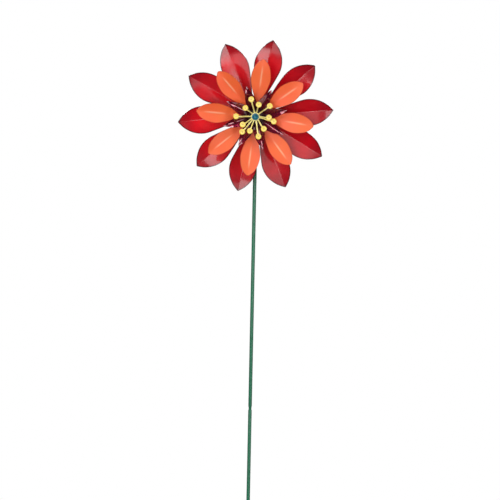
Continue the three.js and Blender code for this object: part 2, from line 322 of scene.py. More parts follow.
def softened(corners, radius, steps=3):
    # rounds each corner of a closed profile of (r, z) corners
    rounded = []
    count = len(corners)
    for k in range(count):
        corner = Vector(corners[k])
        before = Vector(corners[k - 1]) - corner
        after = Vector(corners[(k + 1) % count]) - corner
        if corner.x < 1e-6:  # corners on the axis stay sharp
            rounded.append(corner)
            continue
        cut = min(radius, before.length * 0.45, after.length * 0.45)
        start = corner + before.normalized() * cut
        end = corner + after.normalized() * cut
        for i in range(steps + 1):
            s = i / steps
            rounded.append((1 - s) ** 2 * start + 2 * s * (1 - s) * corner + s * s * end)
    return rounded


def turnedMesh(name, corners, bevel, sides=64):
    # a turned piece round Z; the profile runs counterclockwise in (r, z), and either closes or meets the axis
    vertices = []
    rows = []
    for point in softened(corners, bevel):
        if point.x < 1e-6:
            rows.append([len(vertices)] * sides)
            vertices.append((0, 0, point.y))
            continue
        rows.append([len(vertices) + k for k in range(sides)])
        for k in range(sides):
            angle = 2 * math.pi * k / sides
            vertices.append((point.x * math.cos(angle), point.x * math.sin(angle), point.y))
    faces = []
    for i, lower in enumerate(rows):
        upper = rows[(i + 1) % len(rows)]
        for k in range(sides):
            n = (k + 1) % sides
            face = list(dict.fromkeys([lower[k], lower[n], upper[n], upper[k]]))
            if len(face) > 2:
                faces.append(face)
    return meshFrom(name, vertices, faces)


def collarMesh(name, bore, radius, rear, thick, bevel):
    corners = [(bore, rear), (radius, rear), (radius, rear + thick), (bore, rear + thick)]
    return turnedMesh(name, corners, bevel)


def hexMesh(name, flats, low, high, bore, chamferLow, chamferHigh, sides=96):
    # a nut or bolt head: six flats whose corners are turned off by a 30 degree cone
    inner = flats / 2
    turnedOff = inner * 0.985  # the cone starts just inside the flats
    slope = math.tan(math.radians(30))
    angles = [2 * math.pi * k / sides for k in range(sides)]
    corner = [inner / math.cos((a % (math.pi / 3)) - math.pi / 6) for a in angles]
    cut = [(c - turnedOff) * slope for c in corner]

    def ring(radii, heights):
        return [(r * math.cos(a), r * math.sin(a), z) for a, r, z in zip(angles, radii, heights)]

    rows = [ring([bore] * sides, [low] * sides)]
    if chamferLow:
        rows.append(ring([turnedOff] * sides, [low] * sides))
    rows.append(ring(corner, [low + c * chamferLow for c in cut]))
    rows.append(ring(corner, [high - c * chamferHigh for c in cut]))
    if chamferHigh:
        rows.append(ring([turnedOff] * sides, [high] * sides))
    rows.append(ring([bore] * sides, [high] * sides))
    faces = []
    for i in range(len(rows)):
        j = (i + 1) % len(rows)
        if bore < 0.01 and j == 0:  # a solid head has no wall down its middle
            continue
        for k in range(sides):
            n = (k + 1) % sides
            faces.append((i * sides + k, i * sides + n, j * sides + n, j * sides + k))
    return cleaned(meshFrom(name, [v for row in rows for v in row], faces))


def newTree(name, inputs):
    tree = bpy.data.node_groups.new(name, "GeometryNodeTree")
    tree.interface.new_socket("Geometry", in_out="INPUT", socket_type="NodeSocketGeometry")
    for label, (kind, value) in inputs.items():
        socket = tree.interface.new_socket(label, in_out="INPUT", socket_type="NodeSocket" + kind)
        if value is not None:
            socket.default_value = value
    tree.interface.new_socket("Geometry", in_out="OUTPUT", socket_type="NodeSocketGeometry")
    return tree, addNode(tree, "NodeGroupInput")


def grow(seed, tree, values):
    # runs a tree on a mesh and gives back the plain mesh it makes
    host = bpy.data.objects.new("growing", seed)
    bpy.context.scene.collection.objects.link(host)
    modifier = host.modifiers.new("grow", "NODES")
    modifier.node_group = tree
    for item in tree.interface.items_tree:
        if item.in_out == "INPUT" and item.name in values:
            modifier[item.identifier] = values[item.name]
    bpy.context.view_layer.update()
    depsgraph = bpy.context.evaluated_depsgraph_get()
    mesh = bpy.data.meshes.new_from_object(
        host.evaluated_get(depsgraph), preserve_all_data_layers=True, depsgraph=depsgraph,
    )
    host.modifiers.clear()
    bpy.data.objects.remove(host)
    return mesh


def bladeRingTree():
    # sets a copy of one blade at each seat round the axle, then dents the sheet a little as hand forming does
    tree, given = newTree("bladeRing", {
        "Blade": ("Object", None), "Dents": ("Float", 0.3), "Dent Size": ("Float", 40.0),
        "Seed": ("Int", 3), "Finish": ("Material", None),
    })
    blade = addNode(tree, "GeometryNodeObjectInfo", inputs={"Object": given.outputs["Blade"]})
    turn = addNode(tree, "GeometryNodeInputNamedAttribute", {"data_type": "FLOAT_VECTOR"}, {"Name": "turn"})
    euler = addNode(tree, "FunctionNodeEulerToRotation", inputs={0: turn.outputs["Attribute"]})
    seats = addNode(tree, "GeometryNodeInstanceOnPoints", inputs={
        "Points": given.outputs["Geometry"], "Instance": blade.outputs["Geometry"],
        "Rotation": euler.outputs[0],
    })
    number = addNode(tree, "GeometryNodeInputIndex")
    shade = addNode(tree, "FunctionNodeRandomValue", {"data_type": "FLOAT"}, {
        "ID": number.outputs[0], "Seed": given.outputs["Seed"],
    })
    shaded = addNode(tree, "GeometryNodeStoreNamedAttribute", {"data_type": "FLOAT", "domain": "INSTANCE"}, {
        "Geometry": seats.outputs[0], "Name": "shade", "Value": shade.outputs[1],
    })
    real = addNode(tree, "GeometryNodeRealizeInstances", inputs={"Geometry": shaded.outputs[0]})
    where = addNode(tree, "GeometryNodeInputPosition")
    pitch = addNode(tree, "ShaderNodeMath", {"operation": "DIVIDE"}, {0: 1.0, 1: given.outputs["Dent Size"]})
    noise = addNode(tree, "ShaderNodeTexNoise", {"noise_dimensions": "4D"}, {
        "Vector": where.outputs[0], "W": given.outputs["Seed"], "Scale": pitch.outputs[0], "Detail": 1.0,
    })
    swing = addNode(tree, "ShaderNodeMath", {"operation": "SUBTRACT"}, {0: noise.outputs["Fac"], 1: 0.5})
    height = addNode(tree, "ShaderNodeMath", {"operation": "MULTIPLY"}, {
        0: swing.outputs[0], 1: given.outputs["Dents"],
    })
    offset = addNode(tree, "ShaderNodeCombineXYZ", inputs={"Z": height.outputs[0]})
    dented = addNode(tree, "GeometryNodeSetPosition", inputs={
        "Geometry": real.outputs[0], "Offset": offset.outputs[0],
    })
    finished = addNode(tree, "GeometryNodeSetMaterial", inputs={
        "Geometry": dented.outputs[0], "Material": given.outputs["Finish"],
    })
    addNode(tree, "NodeGroupOutput", inputs={"Geometry": finished.outputs[0]})
    return tree


def beadTree():
    # lays overlapping drops along a line, as a weld bead or a row of spot welds
    tree, given = newTree("weldBeads", {
        "Drops": ("Int", 24), "Drop Radius": ("Float", 1.0), "Flatness": ("Float", 0.6),
        "Seed": ("Int", 1), "Finish": ("Material", None),
    })
    line = addNode(tree, "GeometryNodeMeshToCurve", inputs={"Mesh": given.outputs["Geometry"]})
    spaced = addNode(tree, "GeometryNodeResampleCurve", inputs={
        "Curve": line.outputs[0], "Count": given.outputs["Drops"],
    })
    drop = addNode(tree, "GeometryNodeMeshUVSphere", inputs={
        "Segments": 12, "Rings": 8, "Radius": given.outputs["Drop Radius"],
    })
    size = addNode(tree, "FunctionNodeRandomValue", {"data_type": "FLOAT"}, {
        2: 0.85, 3: 1.1, "Seed": given.outputs["Seed"],
    })
    flat = addNode(tree, "ShaderNodeMath", {"operation": "MULTIPLY"}, {
        0: size.outputs[1], 1: given.outputs["Flatness"],
    })
    stretch = addNode(tree, "ShaderNodeCombineXYZ", inputs={
        "X": size.outputs[1], "Y": size.outputs[1], "Z": flat.outputs[0],
    })
    drops = addNode(tree, "GeometryNodeInstanceOnPoints", inputs={
        "Points": spaced.outputs[0], "Instance": drop.outputs["Mesh"], "Scale": stretch.outputs[0],
    })
    real = addNode(tree, "GeometryNodeRealizeInstances", inputs={"Geometry": drops.outputs[0]})
    finished = addNode(tree, "GeometryNodeSetMaterial", inputs={
        "Geometry": real.outputs[0], "Material": given.outputs["Finish"],
    })
    addNode(tree, "NodeGroupOutput", inputs={"Geometry": finished.outputs[0]})
    return tree


bladeRing = bladeRingTree()
weldBeads = beadTree()


def weldedLine(name, points, bead):
    return grow(lineFrom(name, points), weldBeads, {
        "Drops": bead["drops"], "Drop Radius": bead["dropMm"], "Flatness": bead["flatness"],
        "Seed": bead["seed"], "Finish": greenPowderCoat,
    })


def splinePoints(points, count):
    # an even Catmull-Rom curve through the points
    knots = [Vector(p) for p in points]
    curve = []
    for i in range(count):
        place = i / (count - 1) * (len(knots) - 1)
        k = min(int(place), len(knots) - 2)
        w = place - k
        p0, p1, p2 = knots[max(k - 1, 0)], knots[k], knots[k + 1]
        p3 = knots[min(k + 2, len(knots) - 1)]
        v0, v1 = (p2 - p0) / 2, (p3 - p1) / 2
        cubic = 2 * p1 - 2 * p2 + v0 + v1
        square = 3 * p2 - 3 * p1 - 2 * v0 - v1
        curve.append(cubic * w**3 + square * w**2 + v0 * w + p1)
    return np.array([tuple(p) for p in curve])


def smoothStep(value, low, high):
    s = np.clip((value - low) / (high - low), 0, 1)
    return s * s * (3 - 2 * s)


def sheetFaces(rows, columns):
    # closes two grids of points, a front and then a back, into one sheet
    half = rows * columns
    faces = []
    for i in range(rows - 1):
        for j in range(columns - 1):
            a = i * columns + j
            b = a + columns
            faces.append((a, b, b + 1, a + 1))
            faces.append((half + a, half + a + 1, half + b + 1, half + b))
        left = i * columns
        right = left + columns - 1
        faces.append((left, half + left, half + left + columns, left + columns))
        faces.append((right, right + columns, half + right + columns, half + right))
    last = (rows - 1) * columns
    for j in range(columns - 1):
        faces.append((j, j + 1, half + j + 1, half + j))
        faces.append((last + j, half + last + j, half + last + j + 1, last + j + 1))
    return faces


def markSheet(mesh, marks):
    # the same mark on a sheet's front and back
    for label, values in marks.items():
        data = mesh.attributes.new(label, "FLOAT", "POINT")
        data.data.foreach_set("value", np.tile(np.ravel(values), 2).astype(np.float32))


def bladeGrid(blade, rows, columns):
    # r: mm from the axle; t: mm off the blade's middle line; width: the blade's half width there
    outline = splinePoints(blade["outline"], rows)
    s = np.linspace(-1, 1, columns)
    s = s - 0.8 * np.sin(2 * np.pi * s) / (2 * np.pi)  # closer columns at the crease and at the edges
    r = np.repeat(outline[:, :1], columns, axis=1)
    width = np.repeat(np.maximum(outline[:, 1:], 0.05), columns, axis=1)
    return r, width * s, width


def pressedVein(blade, r, t):
    # 1 along the ridge of the vein, 0 off it and past its two ends
    ridge = np.exp(-((t / blade["veinMm"]) ** 2))
    return ridge * smoothStep(r, *blade["veinFrom"]) * (1 - smoothStep(r, *blade["veinTo"]))


def bladeFront(blade, r, t, vein):
    # the root is flat; further out the blade is pitched, folded along its crease and cupped
    cupSpan = 20  # a blade's "cup" is how far it curls forward this many mm off its crease
    shaped = smoothStep(r, blade["flatRoot"], blade["fullShape"])
    turn = math.radians(blade["pitch"]) * shaped
    bend = blade["creaseMm"]
    fold = (np.sqrt(t * t + bend * bend) - bend) * blade["foldSlope"] * shaped
    fold += blade["cup"] * (t / cupSpan) ** 2 * shaped
    rise = splinePoints(blade["lift"], 240)
    height = np.interp(r, rise[:, 0], rise[:, 1]) + vein * blade["veinHeight"]
    return np.stack([r, t - fold * np.sin(turn), height + t * np.tan(turn) + fold * np.cos(turn)], axis=-1)


def sheetBack(front, thick):
    # the same grid of points one thickness of sheet behind
    alongStep, acrossStep = (np.gradient(front, axis=a) for a in (0, 1))
    outward = np.cross(alongStep, acrossStep)
    return front - outward / np.linalg.norm(outward, axis=2)[..., None] * thick


def edgeDistance(blade, r, t, width):
    # mm to the nearest cut edge; a tipEdgeReach under 1 carries the darker edge band further in at the tip
    slope = np.gradient(width[:, 0], r[:, 0] + np.arange(len(r)) * 1e-6)
    toSide = (width - np.abs(t)) / np.sqrt(1 + slope[:, None] ** 2)
    return np.minimum(toSide, (r[-1:] - r) * blade["tipEdgeReach"] + 0.02)


def bladeMesh(name, blade, rows, columns):
    # a closed sheet along +X, with marks for the paint
    r, t, width = bladeGrid(blade, rows, columns)
    vein = pressedVein(blade, r, t)
    front = bladeFront(blade, r, t, vein)
    back = sheetBack(front, blade["sheet"])
    vertices = np.concatenate([front.reshape(-1, 3), back.reshape(-1, 3)])
    mesh = meshFrom(name, vertices, sheetFaces(rows, columns))
    marks = {
        "edgeMm": edgeDistance(blade, r, t, width),
        # vein: the orange paint lays a painted highlight along it
        "vein": vein,
        # root: 1 near the axle, fading out; the red and burgundy paints lay painted shade on it
        "root": 1 - smoothStep(r, *blade["rootDark"]),
    }
    # tip: 1 towards the tip; the red paint lays painted shade on it
    if "tipDark" in blade:
        marks["tip"] = smoothStep(r, *blade["tipDark"])
    markSheet(mesh, marks)
    return mesh


def ringOfBlades(name, mesh, turns, dents, material):
    # turns: one (twist, tip drop, angle round the axle) in degrees for each seat
    blade = bpy.data.objects.new(name + "Blade", mesh)
    bpy.context.scene.collection.objects.link(blade)
    seats = bpy.data.meshes.new(name + "Seats")
    seats.from_pydata([(0, 0, 0)] * len(turns), [], [])
    data = seats.attributes.new("turn", "FLOAT_VECTOR", "POINT")
    data.data.foreach_set("vector", [math.radians(a) for turn in turns for a in turn])
    grown = grow(seats, bladeRing, {
        "Blade": blade, "Dents": dents["deep"], "Dent Size": dents["wide"], "Seed": dents["seed"],
        "Finish": material,
    })
    bpy.data.objects.remove(blade)
    return grown


def seatTurns(blade):
    rng = random.Random(blade["seed"])
    step = 360 / blade["count"]
    sways = blade.get("sways", [0] * blade["count"])
    turns = []
    for k in range(blade["count"]):
        twist = rng.uniform(-1, 1) * blade["twistPlay"]
        drop = rng.uniform(-1, 1) * blade["tipPlay"]
        turns.append((twist, drop, blade["phase"] + step * k + sways[k]))
    return turns


def nodeNames(kind, count):
    return [f"{kind}_{k:02d}" for k in range(1, count + 1)]


seatLift = 1.1  # petal fronts stand this far in front of their hub plate, mm

redPetal = {
    "count": 10, "phase": 77.9, "seed": 4, "twistPlay": 1.2, "tipPlay": 0.4,
    "outline": [
        (13, 3.4), (26, 5.6), (52, 13.2), (80, 21.8), (105, 27.4), (127, 24.2), (145, 13.9), (157.4, 0.7),
    ],
    "lift": [(13, 0), (24, 0), (60, 1.8), (100, 4.4), (135, 7.4), (157.4, 12.5)],
    "flatRoot": 24, "fullShape": 60, "foldSlope": 0.31, "creaseMm": 0.45, "cup": 0.5, "pitch": 5,
    "veinMm": 1.0, "veinFrom": (60, 90), "veinTo": (140, 156), "veinHeight": 0.0,
    "tipEdgeReach": 0.35, "rootDark": (35, 100), "tipDark": (115, 145),
    "sheet": 0.8, "dents": {"deep": 0.9, "wide": 45.0, "seed": 11},
}
redBlade = bladeMesh("redBlade", redPetal, 84, 33)
redTurns = seatTurns(redPetal)
redMesh = ringOfBlades("redPetals", redBlade, redTurns, redPetal["dents"], redEnamel)
redMesh.transform(Matrix.Translation((0, 0, rearWheelPlane + seatLift)))
finishPiece(
    "redPetals", redMesh, headPlace, "rear_wheel", "red_paint",
    *nodeNames("red_petal", redPetal["count"]), sharpDegrees=50,
)

# the rear hub's plate stands between its tube's two ends, and the front hub's plate is its tube's front end
hub = {
    "tube": 6.5, "bore": 4.9, "plate": 24, "plateThick": 1.5, "edgeRound": 0.35,
    "rearEnds": (20.2, 31.2), "frontBack": 35.4,
}
rearBack, rearFront = hub["rearEnds"]
finishPiece("rearHub", turnedMesh("rearHub", [
    (hub["bore"], rearBack), (hub["tube"], rearBack), (hub["tube"], rearWheelPlane - hub["plateThick"]),
    (hub["plate"], rearWheelPlane - hub["plateThick"]), (hub["plate"], rearWheelPlane),
    (hub["tube"], rearWheelPlane), (hub["tube"], rearFront), (hub["bore"], rearFront),
], hub["edgeRound"]), headPlace, "rear_wheel", "green_paint", "rear_hub")

bushing = {"bore": 3.3, "sleeve": 4.6, "sleeveLong": 3.2, "flange": 7, "flangeThick": 1}


def bushingMesh(name, mouth, inward):
    # mouth: where the flange meets the tube's end; inward: +1 or -1, the way its sleeve runs
    outer = mouth - inward * bushing["flangeThick"]
    tip = mouth + inward * bushing["sleeveLong"]
    corners = [
        (bushing["bore"], outer), (bushing["flange"], outer), (bushing["flange"], mouth),
        (bushing["sleeve"], mouth), (bushing["sleeve"], tip), (bushing["bore"], tip),
    ]
    return turnedMesh(name, corners if inward > 0 else corners[::-1], 0.2)


spotWeld = {"circleMm": 18, "dropMm": 1.9, "flatness": 0.28}


def spotWelds(name, petal, plane, seed):
    # one pressed dimple behind each petal root
    points = []
    for k in range(petal["count"] + 1):
        angle = math.radians(petal["phase"] + 360 / petal["count"] * k)
        points.append((spotWeld["circleMm"] * math.cos(angle), spotWeld["circleMm"] * math.sin(angle), plane))
    return weldedLine(name, points, {**spotWeld, "drops": len(points), "seed": seed})


def fitBushing(name, mouth, inward, body, node):
    finishPiece(name, bushingMesh(name, mouth, inward), headPlace, body, "nylon", node)


fitBushing("rearBushingBack", rearBack - gap, 1, "rear_wheel", "rear_bushing_back")
fitBushing("rearBushingFront", rearFront + gap, -1, "rear_wheel", "rear_bushing_front")
rearSpots = spotWelds("rearSpots", redPetal, rearWheelPlane - hub["plateThick"], 5)
finishPiece("rearSpotWelds", rearSpots, headPlace, "rear_wheel", "green_paint")
print("rear wheel drawn")

orangePetal = {
    "count": 8, "phase": 38.5, "seed": 9, "twistPlay": 2.0, "tipPlay": 0.8,
    "sways": [-1.2, -1.0, 1.0, 1.2, 0.4, 0.0, 0.0, 0.0],  # degrees each petal leans round from its even place
    "outline": [
        (12, 3.8), (24, 5.8), (42, 9.4), (58, 15.4), (78, 19.8), (97, 17.1), (110, 10.9), (118.5, 1.6),
    ],
    "lift": [(12, 0), (22, 0), (45, 3.2), (75, 9.6), (100, 15.6), (118.5, 18.4)],
    "flatRoot": 22, "fullShape": 55, "foldSlope": 0.16, "creaseMm": 2.5, "cup": 1.2, "pitch": -5,
    "veinMm": 1.4, "veinFrom": (55, 75), "veinTo": (90, 108), "veinHeight": 0.5,
    "tipEdgeReach": 1.0, "rootDark": (20, 40), "sheet": 0.8, "dents": {"deep": 0.8, "wide": 40.0, "seed": 23},
}
orangeBlade = bladeMesh("orangeBlade", orangePetal, 72, 33)
orangeTurns = seatTurns(orangePetal)
orangeMesh = ringOfBlades("orangePetals", orangeBlade, orangeTurns, orangePetal["dents"], orangeEnamel)
orangeMesh.transform(Matrix.Translation((0, 0, frontWheelPlane + seatLift)))
finishPiece(
    "orangePetals", orangeMesh, headPlace, "front_wheel", "orange_paint",
    *nodeNames("orange_petal", orangePetal["count"]), sharpDegrees=50,
)

frontBack = hub["frontBack"]
finishPiece("frontHub", turnedMesh("frontHub", [
    (hub["bore"], frontBack), (hub["tube"], frontBack), (hub["tube"], frontWheelPlane - hub["plateThick"]),
    (hub["plate"], frontWheelPlane - hub["plateThick"]), (hub["plate"], frontWheelPlane),
    (hub["bore"], frontWheelPlane),
], hub["edgeRound"]), headPlace, "front_wheel", "green_paint", "front_hub")
fitBushing("frontBushingBack", frontBack - gap, 1, "front_wheel", "front_bushing_back")
fitBushing("frontBushingFront", frontWheelPlane + gap, -1, "front_wheel", "front_bushing_front")
frontSpots = spotWelds("frontSpots", orangePetal, frontWheelPlane - hub["plateThick"], 7)
finishPiece("frontSpotWelds", frontSpots, headPlace, "front_wheel", "green_paint")

corollaPetal = {
    "count": 8, "phase": 15.5, "seed": 6, "twistPlay": 3.0, "tipPlay": 1.5,
    "outline": [(12, 4.8), (18, 7.6), (26, 10), (35, 10.1), (46, 7.9), (56, 4.2), (65, 0.7)],
    "lift": [(12, 0), (16, 0.4), (26, 3.2), (38, 9.4), (49, 15.4), (58, 18.8), (65, 19.4)],
    "flatRoot": 14, "fullShape": 26, "foldSlope": 0.58, "creaseMm": 2.2, "cup": 0.0, "pitch": 0, "sheet": 0.8,
    "veinMm": 1.0, "veinFrom": (30, 40), "veinTo": (50, 60), "veinHeight": 0.0,
    "tipEdgeReach": 1.0, "rootDark": (16, 40), "dents": {"deep": 0.4, "wide": 18.0, "seed": 31},
    "ringBore": 9.4, "ringRadius": 14,
}
corollaRear = frontWheelPlane + 2 * gap + orangePetal["sheet"]
corollaFront = corollaRear + corollaPetal["sheet"]
corollaBlade = bladeMesh("corollaBlade", corollaPetal, 56, 29)
corollaTurns = seatTurns(corollaPetal)
corollaBlades = ringOfBlades("corolla", corollaBlade, corollaTurns, corollaPetal["dents"], burgundyEnamel)
corollaBlades.transform(Matrix.Translation((0, 0, corollaPetal["sheet"])))
corollaRing = collarMesh(
    "corollaRing", corollaPetal["ringBore"], corollaPetal["ringRadius"], 0, corollaPetal["sheet"], 0.15,
)
half = len(corollaRing.vertices) // 2
# the ring under the stamens is all painted shade: nearly black and matt, like the cup's root
markSheet(corollaRing, {"root": np.ones(half), "edgeMm": np.full(half, 9.0)})  # all root, far from any edge
corollaWhole = joinMeshes("corolla", [corollaBlades, corollaRing])
corollaWhole.transform(Matrix.Translation((0, 0, corollaRear)))
finishPiece(
    "corollaCup", corollaWhole, headPlace, "front_wheel", "burgundy_paint", "corolla", sharpDegrees=50,
)

stamen = {
    "count": 12, "phase": -13.5, "longReach": 38.2, "longRise": 18, "shortReach": 28, "shortRise": 20,
    "root": 8, "armHalf": 1.35, "armSteps": 20, "crown": 0.35, "thick": 1.0, "ringBore": 6, "ringRadius": 8.7,
    "head": 5.7, "headSteps": 24, "rimHeight": 0.9, "rimAt": 0.78, "rimWide": 0.2,
    "dishWide": 0.36, "dotHeight": 0.5, "dotWide": 0.3,
    "bends": [4, -13, -6, -1, -4, -2, 10, 13, 2, -7, -5, -6],  # degrees each arm leans from its even place
    "dents": {"deep": 0.3, "wide": 12.0, "seed": 41},
}


def stamenStations(neck, reach):
    # (mm from the axle, half width) down the arm and then round the head
    root, arm, head = stamen["root"], stamen["armHalf"], stamen["head"]
    stations = [(root + (neck - root) * i / stamen["armSteps"], arm) for i in range(stamen["armSteps"])]
    start = math.pi - math.asin(arm / head)
    for i in range(stamen["headSteps"] + 1):
        angle = start + (0.02 - start) * i / stamen["headSteps"]
        stations.append((reach + head * math.cos(angle), head * math.sin(angle)))
    return stations


def stamenMesh(name, reach, riseMm):
    # a flat arm that bends forward and ends in a round pressed head with a raised rim and a dished middle
    neck = reach - math.sqrt(stamen["head"] ** 2 - stamen["armHalf"] ** 2)
    stations = stamenStations(neck, reach)
    across = np.sin(np.linspace(-1, 1, 15) * math.pi / 2)
    front, dish, lip = [], [], []
    for r, halfWidth in stations:
        bend = float(smoothStep(r, stamen["root"], reach - stamen["head"] * 0.7))
        inHead = float(smoothStep(r, neck - 0.5, neck + 1.5))
        for s in across:
            fromMiddle = math.hypot(r - reach, halfWidth * s) / stamen["head"]
            lip.append(math.exp(-(((fromMiddle - stamen["rimAt"]) / stamen["rimWide"]) ** 2)) * inHead)
            dish.append(math.exp(-((fromMiddle / stamen["dishWide"]) ** 4)) * inHead)
            dot = math.exp(-((fromMiddle / stamen["dotWide"]) ** 2)) * stamen["dotHeight"] * inHead
            crown = stamen["crown"] * (1 - s * s) * (1 - inHead)
            pressed = lip[-1] * stamen["rimHeight"] + dot + crown
            front.append((r, halfWidth * s, stamen["thick"] + riseMm * bend + pressed))
    back = [(x, y, z - stamen["thick"]) for x, y, z in front]
    mesh = meshFrom(name, front + back, sheetFaces(len(stations), len(across)))
    # dish marks each head's middle for painted shade; lip marks its raised rim
    markSheet(mesh, {"dish": dish, "lip": lip})
    return mesh


stamenParts = [collarMesh("stamenRing", stamen["ringBore"], stamen["ringRadius"], 0, stamen["thick"], 0.2)]
for first, kind in enumerate(("long", "short")):
    stamenBlade = stamenMesh("stamenBlade", stamen[kind + "Reach"], stamen[kind + "Rise"])
    step = 360 / stamen["count"]
    arms = range(first, stamen["count"], 2)
    turns = [(0, 0, stamen["phase"] + step * k + stamen["bends"][k]) for k in arms]
    stamenParts.append(ringOfBlades("stamens", stamenBlade, turns, stamen["dents"], yellowEnamel))
stamensWhole = joinMeshes("stamens", stamenParts)
stamensWhole.transform(Matrix.Translation((0, 0, corollaFront + gap)))
finishPiece("stamenStar", stamensWhole, headPlace, "front_wheel", "yellow_paint", "stamens", sharpDegrees=50)
print("front wheel drawn")

axle = {
    "radius": 3, "intoHead": 0.5, "pastFrontWheel": 10, "boss": 6, "bossHalf": 11.3,
    "flats": 10, "headThick": 4, "nutThick": 5,
    "washer": 7, "washerThick": 1, "frontWasher": 5.5, "frontWasherThick": 1.9,
}
axleHole = axle["radius"] + gap
bossFront = axle["bossHalf"]
headFront = -bossFront - gap
nutRear = bossFront + gap
nutFront = nutRear + axle["nutThick"]
finishPiece("axleBoss", collarMesh(
    "axleBoss", axleHole, axle["boss"], -bossFront, 2 * bossFront, 0.5,
), headPlace, "mast", "green_paint", "axle_boss")

shankRear = headFront - axle["intoHead"]
shankFront = frontWheelPlane + axle["pastFrontWheel"]
shankProfile = [(0, shankRear), (axle["radius"], shankRear), (axle["radius"], shankFront), (0, shankFront)]
boltMesh = joinMeshes("axleBolt", [
    turnedMesh("shank", shankProfile, 0.4),
    hexMesh("boltHead", axle["flats"], headFront - axle["headThick"], headFront, 0.001, True, False),
])
finishPiece("axleBolt", boltMesh, headPlace, "mast", "zinc_steel", "axle_bolt")
jamMesh = hexMesh("jamNut", axle["flats"], nutRear, nutFront, axleHole, True, True)
finishPiece("jamNut", jamMesh, headPlace, "mast", "zinc_steel", "jam_nut")

washers = {  # piece: node, its rear face, radius, thickness
    "rearWasher": ("rear_washer", nutFront + gap, axle["washer"], axle["washerThick"]),
    "middleWasher": (
        "middle_washer", rearFront + 2 * gap + bushing["flangeThick"], axle["washer"], axle["washerThick"],
    ),
    "frontWasher": (
        "front_washer", frontWheelPlane + 2 * gap + bushing["flangeThick"],
        axle["frontWasher"], axle["frontWasherThick"],
    ),
}
for name, (node, rear, radius, thick) in washers.items():
    washerMesh = collarMesh(name, axleHole, radius, rear, thick, 0.25)
    finishPiece(name, washerMesh, headPlace, "mast", "zinc_steel", node)

capNut = {
    "flange": 7.2, "flangeThick": 1.4, "flats": 10, "hexHeight": 5, "hexSunk": 0.2,
    "dome": 4.9, "domeSunk": 0.4,
}
capRear = frontWheelPlane + 3 * gap + bushing["flangeThick"] + axle["frontWasherThick"]
hexRear = capRear + capNut["flangeThick"]
hexFront = hexRear + capNut["hexHeight"]
domeBase = hexFront - capNut["domeSunk"]
domeProfile = [(0, domeBase - 1), (capNut["dome"], domeBase - 1)]
for angle in np.linspace(0, math.pi / 2, 14)[:-1]:
    domeProfile.append((capNut["dome"] * math.cos(angle), domeBase + capNut["dome"] * math.sin(angle)))
domeProfile.append((0, domeBase + capNut["dome"]))
capMesh = joinMeshes("capNut", [
    collarMesh("flange", axleHole, capNut["flange"], capRear, capNut["flangeThick"], 0.5),
    hexMesh("capHex", capNut["flats"], hexRear - capNut["hexSunk"], hexFront, axleHole, False, True),
    turnedMesh("dome", domeProfile, 0.0, 48),
])
finishPiece("capNut", capMesh, headPlace, "mast", "teal_paint", "cap_nut")

# the upper pole's end is swaged down to slide into the lower pole
pole = {
    "radius": 3.75, "length": 610, "inSoil": 223.5, "point": 18, "tip": 0.6, "socketDeep": 30, "bore": 3.0,
    "swage": 3.0, "swageBore": 2.4, "neck": 5, "taper": 5, "insertion": 25,
}
rim = pole["length"] - pole["inSoil"]
foot = -pole["inSoil"]
socketRadius = pole["swage"] + gap
socketFloor = rim - pole["socketDeep"]
finishPiece("lowerPole", turnedMesh("lowerPole", [
    (0, foot), (pole["tip"], foot), (pole["radius"], foot + pole["point"]), (pole["radius"], rim),
    (socketRadius, rim), (socketRadius, socketFloor), (0, socketFloor),
], 0.25), stakePlace, "stake", "green_paint", "lower_pole")

poleTop = axleHeight * 1000 - axle["boss"] - gap
swageEnd = rim - pole["insertion"]
neckTop = rim + pole["neck"]
shoulder = neckTop + pole["taper"]
finishPiece("upperPole", turnedMesh("upperPole", [
    (pole["swageBore"], swageEnd), (pole["swage"], swageEnd), (pole["swage"], neckTop),
    (pole["radius"], shoulder), (pole["radius"], poleTop),
    (pole["bore"], poleTop), (pole["bore"], shoulder + 1), (pole["swageBore"], neckTop),
], 0.6), stakePlace, "mast", "green_paint", "upper_pole")

# the bead where the boss is welded across the pole's top follows the boss's round underside
bossBead = {"ringMm": 4.1, "below": 0.3, "drops": 26, "dropMm": 1.0, "flatness": 0.9, "seed": 2}
saddle = []
for k in range(49):
    angle = 2 * math.pi * k / 48
    x, y = bossBead["ringMm"] * math.cos(angle), bossBead["ringMm"] * math.sin(angle)
    saddle.append((x, y, axleHeight * 1000 - math.sqrt(axle["boss"] ** 2 - x * x) - bossBead["below"]))
finishPiece("bossWeld", weldedLine("saddle", saddle, bossBead), stakePlace, "mast", "green_paint")

fork = {"radius": 3, "halfSpan": 45, "bend": 14, "bendSteps": 12, "depth": 150, "point": 18, "tip": 0.6}


def forkLine():
    # down the left prong, round its bend and along the bar, then the same mirrored
    side = -fork["halfSpan"]
    bendBase = fork["radius"] - fork["bend"]
    half = [(side, z) for z in (-fork["depth"], -fork["depth"] + fork["point"], bendBase)]
    for i in range(1, fork["bendSteps"] + 1):
        angle = math.pi / 2 * i / fork["bendSteps"]
        half.append((side + fork["bend"] * (1 - math.cos(angle)), bendBase + fork["bend"] * math.sin(angle)))
    return half + [(-x, z) for x, z in reversed(half)]


